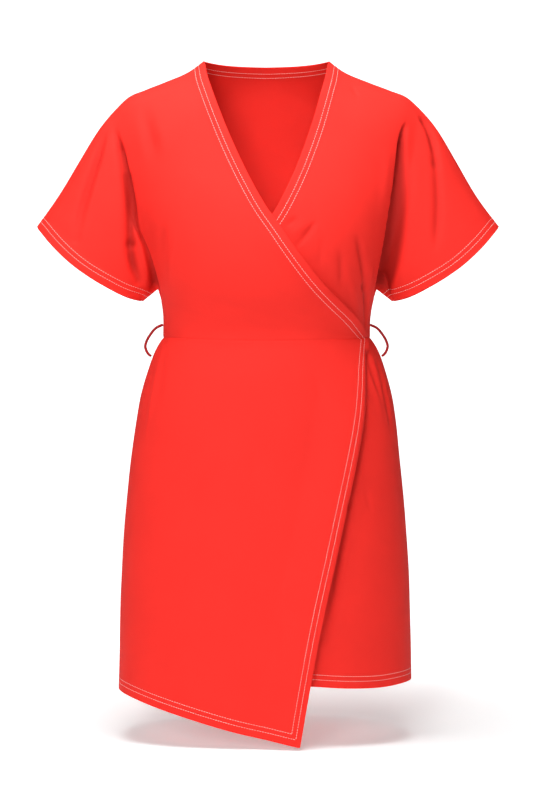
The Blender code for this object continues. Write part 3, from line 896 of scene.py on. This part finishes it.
def on_skirt(x, drop, side):
    """Put places on the skirt's form, for the lines of creases and edges."""
    half_width = read(drop, SKIRT["drop"], SKIRT["half_width"])
    depth = section_depth(x - skirt_lean(drop), half_width, read(drop, SKIRT["drop"], SKIRT[side]))
    return np.stack([x, FACING[side] * depth, -drop], axis=-1)


overlap_drop = np.linspace(OVERLAP_EDGE["drop"][0], OVERLAP_EDGE["drop"][-1], 70)
overlap_x = read(overlap_drop, OVERLAP_EDGE["drop"], OVERLAP_EDGE["x"])
right_overlap_line = on_skirt(overlap_x, overlap_drop, "front")
left_overlap_line = on_skirt(-overlap_x, overlap_drop, "front")

front_shares = closer(FRONT_COLUMNS + 1, start=3.2, reach=0.075)
end_angle = section_angle(WRAP_EDGE["x"][-1], BODY["half_width"][-1])
front_out = section_out(end_angle * (1 - front_shares), BODY["half_width"][-1])
front_bottom = np.stack([front_out, waist_drop(front_out, "front") - SEAM_GAP / 2], axis=1)
front_top_out = NECK_HALF_WIDTH + (side_rows[0, 0] - NECK_HALF_WIDTH) * front_shares
front_top = np.stack([front_top_out, shoulder_drop(front_top_out)], axis=1)

for name, node, own_side, edge, own_wrap, own_overlap, source in (
        ("right_front_bodice", "bodice_front_right", -1, WRAP_EDGE, right_wrap_line,
         right_overlap_line, RIGHT_FRONT_CREASES),
        ("left_front_bodice", "bodice_front_left", 1, UNDER_WRAP_EDGE, left_wrap_line,
         left_overlap_line, LEFT_FRONT_CREASES)):
    wrap = walk(np.stack([edge["x"] * own_side, edge["drop"]], axis=1), down_shares)
    wrap[-1] = front_bottom[0]
    body = fill(front_top, front_bottom, wrap, side_rows, front_shares, down_shares)
    places, grids, shut = with_sleeves(body, ((1, -1),))
    body_index, sleeve_index = grids
    shut[body_index[0]] = True
    level = np.zeros(len(places), dtype=bool)
    level[body_index[-1]] = True
    points = on_bodice(places[:, 0] * own_side, places[:, 1], "front", shut)
    own_end = sleeve_end_line("front", own_side)
    hems = [own_wrap, own_overlap[:8], neck_line, own_end]
    seams = [seam_line(top_line, own_side), seam_line(under_line, own_side), waist_lines["front"]]
    folds = fading_creases(points, source, on_bodice, "front", waist_lines["front"])
    folds += sleeve_fall(points, own_side) * off_sides(points)
    layer = -under_layer_inset(points) if own_side > 0 else wrap_lift(points)
    surfaces = sew_cloth(name, node, points, grids, FACING["front"], hems, seams, folds, layer, shut,
                         level)
    hem_gap = gap_to(points, hems)
    runs = [
        (body_index, gap_to(points, hems[:3])),
        (sleeve_index[:, ::-1], nearest(points, own_end)[0]),
    ]
    stitch_hems(name + "_stitches", surfaces, runs, hem_gap)


# ---- Skirt ------------------------------------------------------------------
# Three panels of red crepe sewn to the bodice at the waist and to each other at the sides. The
# right front laps over the left, with a slanted edge that falls to a pointed corner.

SKIRT_ROWS = 176
SKIRT_FRONT_COLUMNS = 122
SKIRT_BACK_COLUMNS = 168
OVERLAP_LIFT = 0.0125
OVERLAP_LIFT_WIDTH = 0.070
OVERLAP_LIFT_START, OVERLAP_LIFT_GROWTH = 0.390, 0.13
OVER_HEM = table(
    "x        drop",
    (-0.2035, 0.8640),
    (-0.1473, 0.8823),
    (-0.1024, 0.8957),
    (-0.0460, 0.9112),
    (0.0207, 0.9257),
    (0.0455, 0.9313),
)
UNDER_HEM = table(
    "x        drop",
    (-0.0500, 0.8506),
    (0.0581, 0.8507),
    (0.1173, 0.8545),
    (0.1556, 0.8550),
    (0.2035, 0.8506),
)
BACK_HEM = table(
    "x        drop",
    (-0.2035, 0.8640),
    (0.0000, 0.8600),
    (0.2035, 0.8506),
)
SKIRT_FRONT_CREASES = table(
    CREASE_COLUMNS,
    (0.1402, 0.408, 0.1495, 0.437, 0.1585, 0.470, 0.0045, -0.0032, 0.7, 0.0),
    (0.1545, 0.418, 0.1640, 0.465, 0.1719, 0.528, 0.0050, -0.0034, 0.5, 0.0),
    (0.1438, 0.398, 0.1504, 0.420, 0.1558, 0.440, 0.0035, 0.0014, 0.4, 0.0),
    (0.1397, 0.424, 0.1510, 0.460, 0.1592, 0.507, 0.0045, 0.0014, 0.2, 0.0),
    (0.1317, 0.575, 0.1380, 0.603, 0.1438, 0.632, 0.0042, -0.0013, 0.0, 0.0),
    (0.1385, 0.405, 0.1290, 0.510, 0.1105, 0.610, 0.0050, -0.0050, 0.8, 0.6),
    (0.1105, 0.610, 0.0945, 0.700, 0.0780, 0.790, 0.0055, -0.0050, 0.5, 0.4),
    (-0.1448, 0.405, -0.1560, 0.465, -0.1676, 0.540, 0.0045, 0.0014, 0.3, 0.0),
    (-0.1380, 0.392, -0.1430, 0.430, -0.1480, 0.480, 0.0060, -0.0014, 0.6, 0.0),
    (0.0583, 0.428, 0.0700, 0.452, 0.0799, 0.480, 0.0080, -0.0012, 0.0, 0.0),
    (-0.0168, 0.520, -0.0160, 0.560, -0.0155, 0.604, 0.0070, -0.0010, 0.0, 0.0),
    (0.0196, 0.745, 0.0210, 0.785, 0.0223, 0.826, 0.0080, -0.0011, 0.0, 0.0),
)
SKIRT_BACK_CREASES = table(
    CREASE_COLUMNS,
    (0.1340, 0.392, 0.1450, 0.450, 0.1560, 0.560, 0.0080, -0.0017, 0.7, 0.0),
    (0.0950, 0.390, 0.1020, 0.440, 0.1060, 0.520, 0.0090, -0.0012, 0.8, 0.0),
    (0.0350, 0.390, 0.0420, 0.450, 0.0400, 0.560, 0.0120, -0.0010, 0.8, 0.0),
    (-0.0420, 0.390, -0.0450, 0.440, -0.0520, 0.500, 0.0100, -0.0011, 0.8, 0.0),
    (-0.1000, 0.390, -0.1080, 0.440, -0.1180, 0.540, 0.0090, -0.0014, 0.8, 0.0),
    (-0.1360, 0.392, -0.1450, 0.440, -0.1540, 0.500, 0.0080, -0.0016, 0.7, 0.0),
    (0.0700, 0.620, 0.0780, 0.740, 0.0800, 0.860, 0.0200, -0.0016, 0.0, 0.8),
    (-0.0600, 0.600, -0.0660, 0.740, -0.0640, 0.860, 0.0220, -0.0018, 0.0, 0.8),
)


def overlap_lift(points):
    """How far the over skirt stands off the under skirt near its overlap edge."""
    grown = smooth_step((-points[:, 2] - OVERLAP_LIFT_START) / OVERLAP_LIFT_GROWTH)
    return OVERLAP_LIFT * near_edge(points, OVERLAP_LIFT_WIDTH) * grown


def overlap_angle(drop):
    """How far round the section a front skirt reaches, from its own side seam to its edge."""
    beyond = read(drop, OVERLAP_EDGE["drop"], OVERLAP_EDGE["x"])
    return section_angle(beyond, read(drop, SKIRT["drop"], SKIRT["half_width"]))


def half_round(drop):
    return np.full_like(drop, np.pi)


def skirt_points(side, own_side, far_angle, hem, across):
    """A panel's points, from its own side seam round to an angle that may change with the drop."""
    across = across[None, :]
    down = closer(SKIRT_ROWS + 1, start=2.6, end=3.2, reach=0.05)[:, None]
    out = section_out(across * far_angle(SKIRT["drop"][0]), SKIRT["half_width"][0])
    top = waist_drop(out, side) + SEAM_GAP / 2
    hem_level = hem["drop"].max()
    hem_width = read(hem_level, SKIRT["drop"], SKIRT["half_width"])
    hem_x = section_out(across * far_angle(hem_level), hem_width) * own_side
    drop = top + (read(hem_x, hem["x"], hem["drop"]) - top) * down
    at = drop - (top - SIDE_WAIST_DROP) * (1 - down)
    angle = far_angle(at) * across
    half_width = read(at, SKIRT["drop"], SKIRT["half_width"])
    x = section_out(angle, half_width) * own_side + skirt_lean(at)
    depth = read(at, SKIRT["drop"], SKIRT[side]) * np.abs(np.sin(angle)) ** (2 / SECTION_POWER)
    return np.stack([x, FACING[side] * (depth + SEAM_GAP / 2), -drop], axis=-1)


def skirt_side_line(own_side):
    drop = SKIRT["drop"][:, None]
    x = SKIRT["half_width"][:, None] * own_side + skirt_lean(drop)
    return np.concatenate([x, np.zeros_like(x), -drop], axis=1)


front_across = closer(SKIRT_FRONT_COLUMNS + 1, start=0.8, end=3.4, reach=0.05)
back_across = closer(SKIRT_BACK_COLUMNS + 1, start=0.8, end=0.8, reach=0.03)
for name, node, side, own_side, far_angle, hem, across, source in (
        ("back_skirt", "skirt_back", "back", 1, half_round, BACK_HEM, back_across,
         SKIRT_BACK_CREASES),
        ("left_front_skirt", "skirt_front_left", "front", 1, overlap_angle, UNDER_HEM, front_across,
         SKIRT_FRONT_CREASES),
        ("right_front_skirt", "skirt_front_right", "front", -1, overlap_angle, OVER_HEM,
         front_across, SKIRT_FRONT_CREASES)):
    grid = skirt_points(side, own_side, far_angle, hem, across)
    points = grid.reshape(-1, 3)
    index = np.arange(len(points)).reshape(grid.shape[:2])
    shut = np.zeros(index.shape, dtype=bool)
    shut[:, 0] = True
    shut[:, -1] = side == "back"
    level = np.zeros(index.shape, dtype=bool)
    level[0] = True
    hem_line = grid[-1, ::3].copy()
    hems = [hem_line]
    seams = [waist_lines[side], skirt_side_line(own_side)]
    folds = fading_creases(points, source, on_skirt, side, waist_lines[side])
    layer = np.zeros(len(points))
    runs = [(index.T[:, ::-1], nearest(points, hem_line)[0])]
    if side == "back":
        seams.append(skirt_side_line(-own_side))
    else:
        own_lines = ([left_wrap_line[-8:], left_overlap_line] if own_side > 0
                     else [right_wrap_line[-8:], right_overlap_line])
        hems += own_lines
        runs.append((index[:, ::-1], gap_to(points, own_lines)))
        layer = overlap_lift(points) if own_side < 0 else -under_layer_inset(points)
    surfaces = sew_cloth(name, node, points, [index], FACING[side], hems, seams, folds, layer,
                         shut.ravel(), level.ravel())
    stitch_hems(name + "_stitches", surfaces, runs, gap_to(points, hems))


# ---- Belt loops -------------------------------------------------------------
# A rouleau at each side, a narrow tube of the same cloth turned right side out. Each end is caught
# in the side seam, above and below the waist seam.

LOOP_RADIUS = 0.0019
LOOP_STEPS = 90
LOOP_SIDES = 20
LOOP_SEAM, LOOP_SEAM_WIDTH = 0.10, 0.22
LOOP_PINCH = 0.03
LOOP_END = 0.02
BELT_LOOP = table(
    "out     drop",
    (0.1427, 0.3639),
    (0.1524, 0.3686),
    (0.1598, 0.3770),
    (0.1658, 0.3877),
    (0.1673, 0.3938),
    (0.1661, 0.3990),
    (0.1635, 0.4037),
    (0.1600, 0.4066),
    (0.1585, 0.4064),
)
# The loops are the same crepe drawn at about half its brightness: painted shade, for the shade they
# lie in at the sides
red_rouleau = crepe("red_rouleau", (0.43, 0.018, 0.020), (0.31, 0.012, 0.014))

route = walk(columns(BELT_LOOP, "out", "drop"), np.linspace(0, 1, LOOP_STEPS))
for name, node, own_side in (("right_belt_loop", "belt_loop_right", -1),
                             ("left_belt_loop", "belt_loop_left", 1)):
    middle = np.stack([route[:, 0] * own_side, np.zeros(LOOP_STEPS), -route[:, 1]], axis=1)
    along = np.gradient(middle, axis=0)
    along /= np.linalg.norm(along, axis=1, keepdims=True)
    sideways = np.tile((0.0, 1.0, 0.0), (LOOP_STEPS, 1))
    upward = np.cross(along, sideways)
    turn = np.linspace(0, 2 * np.pi, LOOP_SIDES, endpoint=False)
    share = np.linspace(0, 1, LOOP_STEPS)[:, None]
    seam = LOOP_SEAM * np.exp(-((turn - np.pi * 0.55) / LOOP_SEAM_WIDTH) ** 2)[None, :]
    pinch = LOOP_PINCH * np.sin(share * 71 + 2 * np.sin(share * 23))
    closed = np.clip(np.minimum(share, 1 - share) / LOOP_END, 0.12, 1) ** 0.5
    radius = LOOP_RADIUS * (1 - seam + pinch) * closed
    ring = (middle[:, None] + radius[..., None] * (np.cos(turn)[None, :, None] * sideways[:, None]
                                                   + np.sin(turn)[None, :, None] * upward[:, None]))
    index = np.arange(LOOP_STEPS * LOOP_SIDES).reshape(LOOP_STEPS, LOOP_SIDES)
    wrapped = np.concatenate([index, index[:, :1]], axis=1)
    faces = squares(wrapped)[:, [0, 3, 2, 1]].tolist()
    faces += [index[0, ::-1].tolist(), index[-1].tolist()]
    loop = new_piece(name, ring, faces, red_rouleau)
    around = turn[None, :] * LOOP_RADIUS
    flat = np.stack(np.broadcast_arrays(around, walked(middle)[:, None]), axis=-1)
    lay_flat(loop.data, flat.reshape(-1, 2))
    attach(loop, "root")
    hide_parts(node)


# ---- Studio -----------------------------------------------------------------
# A pale paper sweep behind and below the dress, lit softly from the upper left, with a weaker
# light on the right. The paper also glows, as painted light.

FLOOR_DROP = 0.9345
SWEEP = (
    (-3.0, 0.0), (-0.12, 0.0), (0.02, 0.004), (0.12, 0.018), (0.25, 0.040), (0.45, 0.060),
    (0.80, 0.075), (1.4, 0.080), (8.5, 0.100), (9.1, 0.45), (9.4, 1.3), (9.5, 2.6), (9.5, 4.5),
)
SWEEP_HALF_WIDTH = 2.0


def glowing_paper(name):
    """Pale paper that glows as painted light: weakly below the dress, more and more towards behind
    it. Its faint cyan tint is painted to cancel the red light the dress throws on it.
    """
    look = {"Base Color": (0.89, 0.94, 0.94, 1.0), "Roughness": 0.9, "Emission Color": (1, 1, 1, 1)}
    material, nodes, link, surface = new_material(name, look)
    place = add_node(nodes, "TexCoord")
    axes = add_node(nodes, "SeparateXYZ")
    rise = {"From Min": 0.02, "From Max": 0.60, "To Min": 0.32, "To Max": 1.0}
    glow = add_node(nodes, "MapRange", rise)
    glow.interpolation_type = "SMOOTHSTEP"
    link(place.outputs["Object"], axes.inputs["Vector"])
    link(axes.outputs["Y"], glow.inputs["Value"])
    link(glow.outputs["Result"], surface.inputs["Emission Strength"])
    return material


path = walk(np.array(SWEEP), np.linspace(0, 1, 200))
corners = [(x, y, up - FLOOR_DROP) for y, up in path for x in (-SWEEP_HALF_WIDTH, SWEEP_HALF_WIDTH)]
faces = [(2 * n, 2 * n + 1, 2 * n + 3, 2 * n + 2) for n in range(len(path) - 1)]
sweep = new_piece("sweep", corners, faces, glowing_paper("white_paper"))

world = bpy.data.worlds.new("studio")
world.use_nodes = True
set_inputs(world.node_tree.nodes["Background"], {"Color": (1.0, 1.0, 1.0, 1.0), "Strength": 0.05})
bpy.context.scene.world = world

for name, place, aim, size, power in (
        ("key", (-1.2, -4.8, 0.6), (0.0, 0.0, -0.45), 1.2, 79.0),
        ("front", (0.3, -5.0, -0.2), (0.0, 0.0, -0.45), 2.0, 22.0),
        ("left_side", (-3.0, -1.0, 0.5), (0.0, 0.0, -0.45), 1.6, 12.0),
        ("right_side", (3.0, -1.6, 0.3), (0.0, 0.0, -0.45), 1.6, 5.0),
        ("near_shoulders", (-0.1, -0.6, 0.75), (0.0, 0.0, -0.05), 0.9, 15.0),
        ("overhead", (-0.15, -0.25, 1.4), (-0.15, -0.249, 0.0), 1.2, 18.5)):
    light = bpy.data.lights.new(name, "AREA")
    light.size = size
    light.energy = power
    lamp = new_object(name, light)
    direction = np.array(aim) - np.array(place)
    lamp.location = place
    yaw = np.arctan2(direction[0], -direction[1])
    tilt = np.arctan2(np.hypot(direction[0], direction[1]), -direction[2])
    lamp.rotation_euler = (tilt, 0.0, np.pi + yaw)

camera_data = bpy.data.cameras.new("camera")
camera_data.lens = 130.4
camera = new_object("camera", camera_data)
camera.location = (0.0, -4.0, -0.468)
camera.rotation_euler = (np.pi / 2, 0.0, 0.0)
bpy.context.scene.camera = camera
bpy.context.scene.view_settings.view_transform = "Standard"
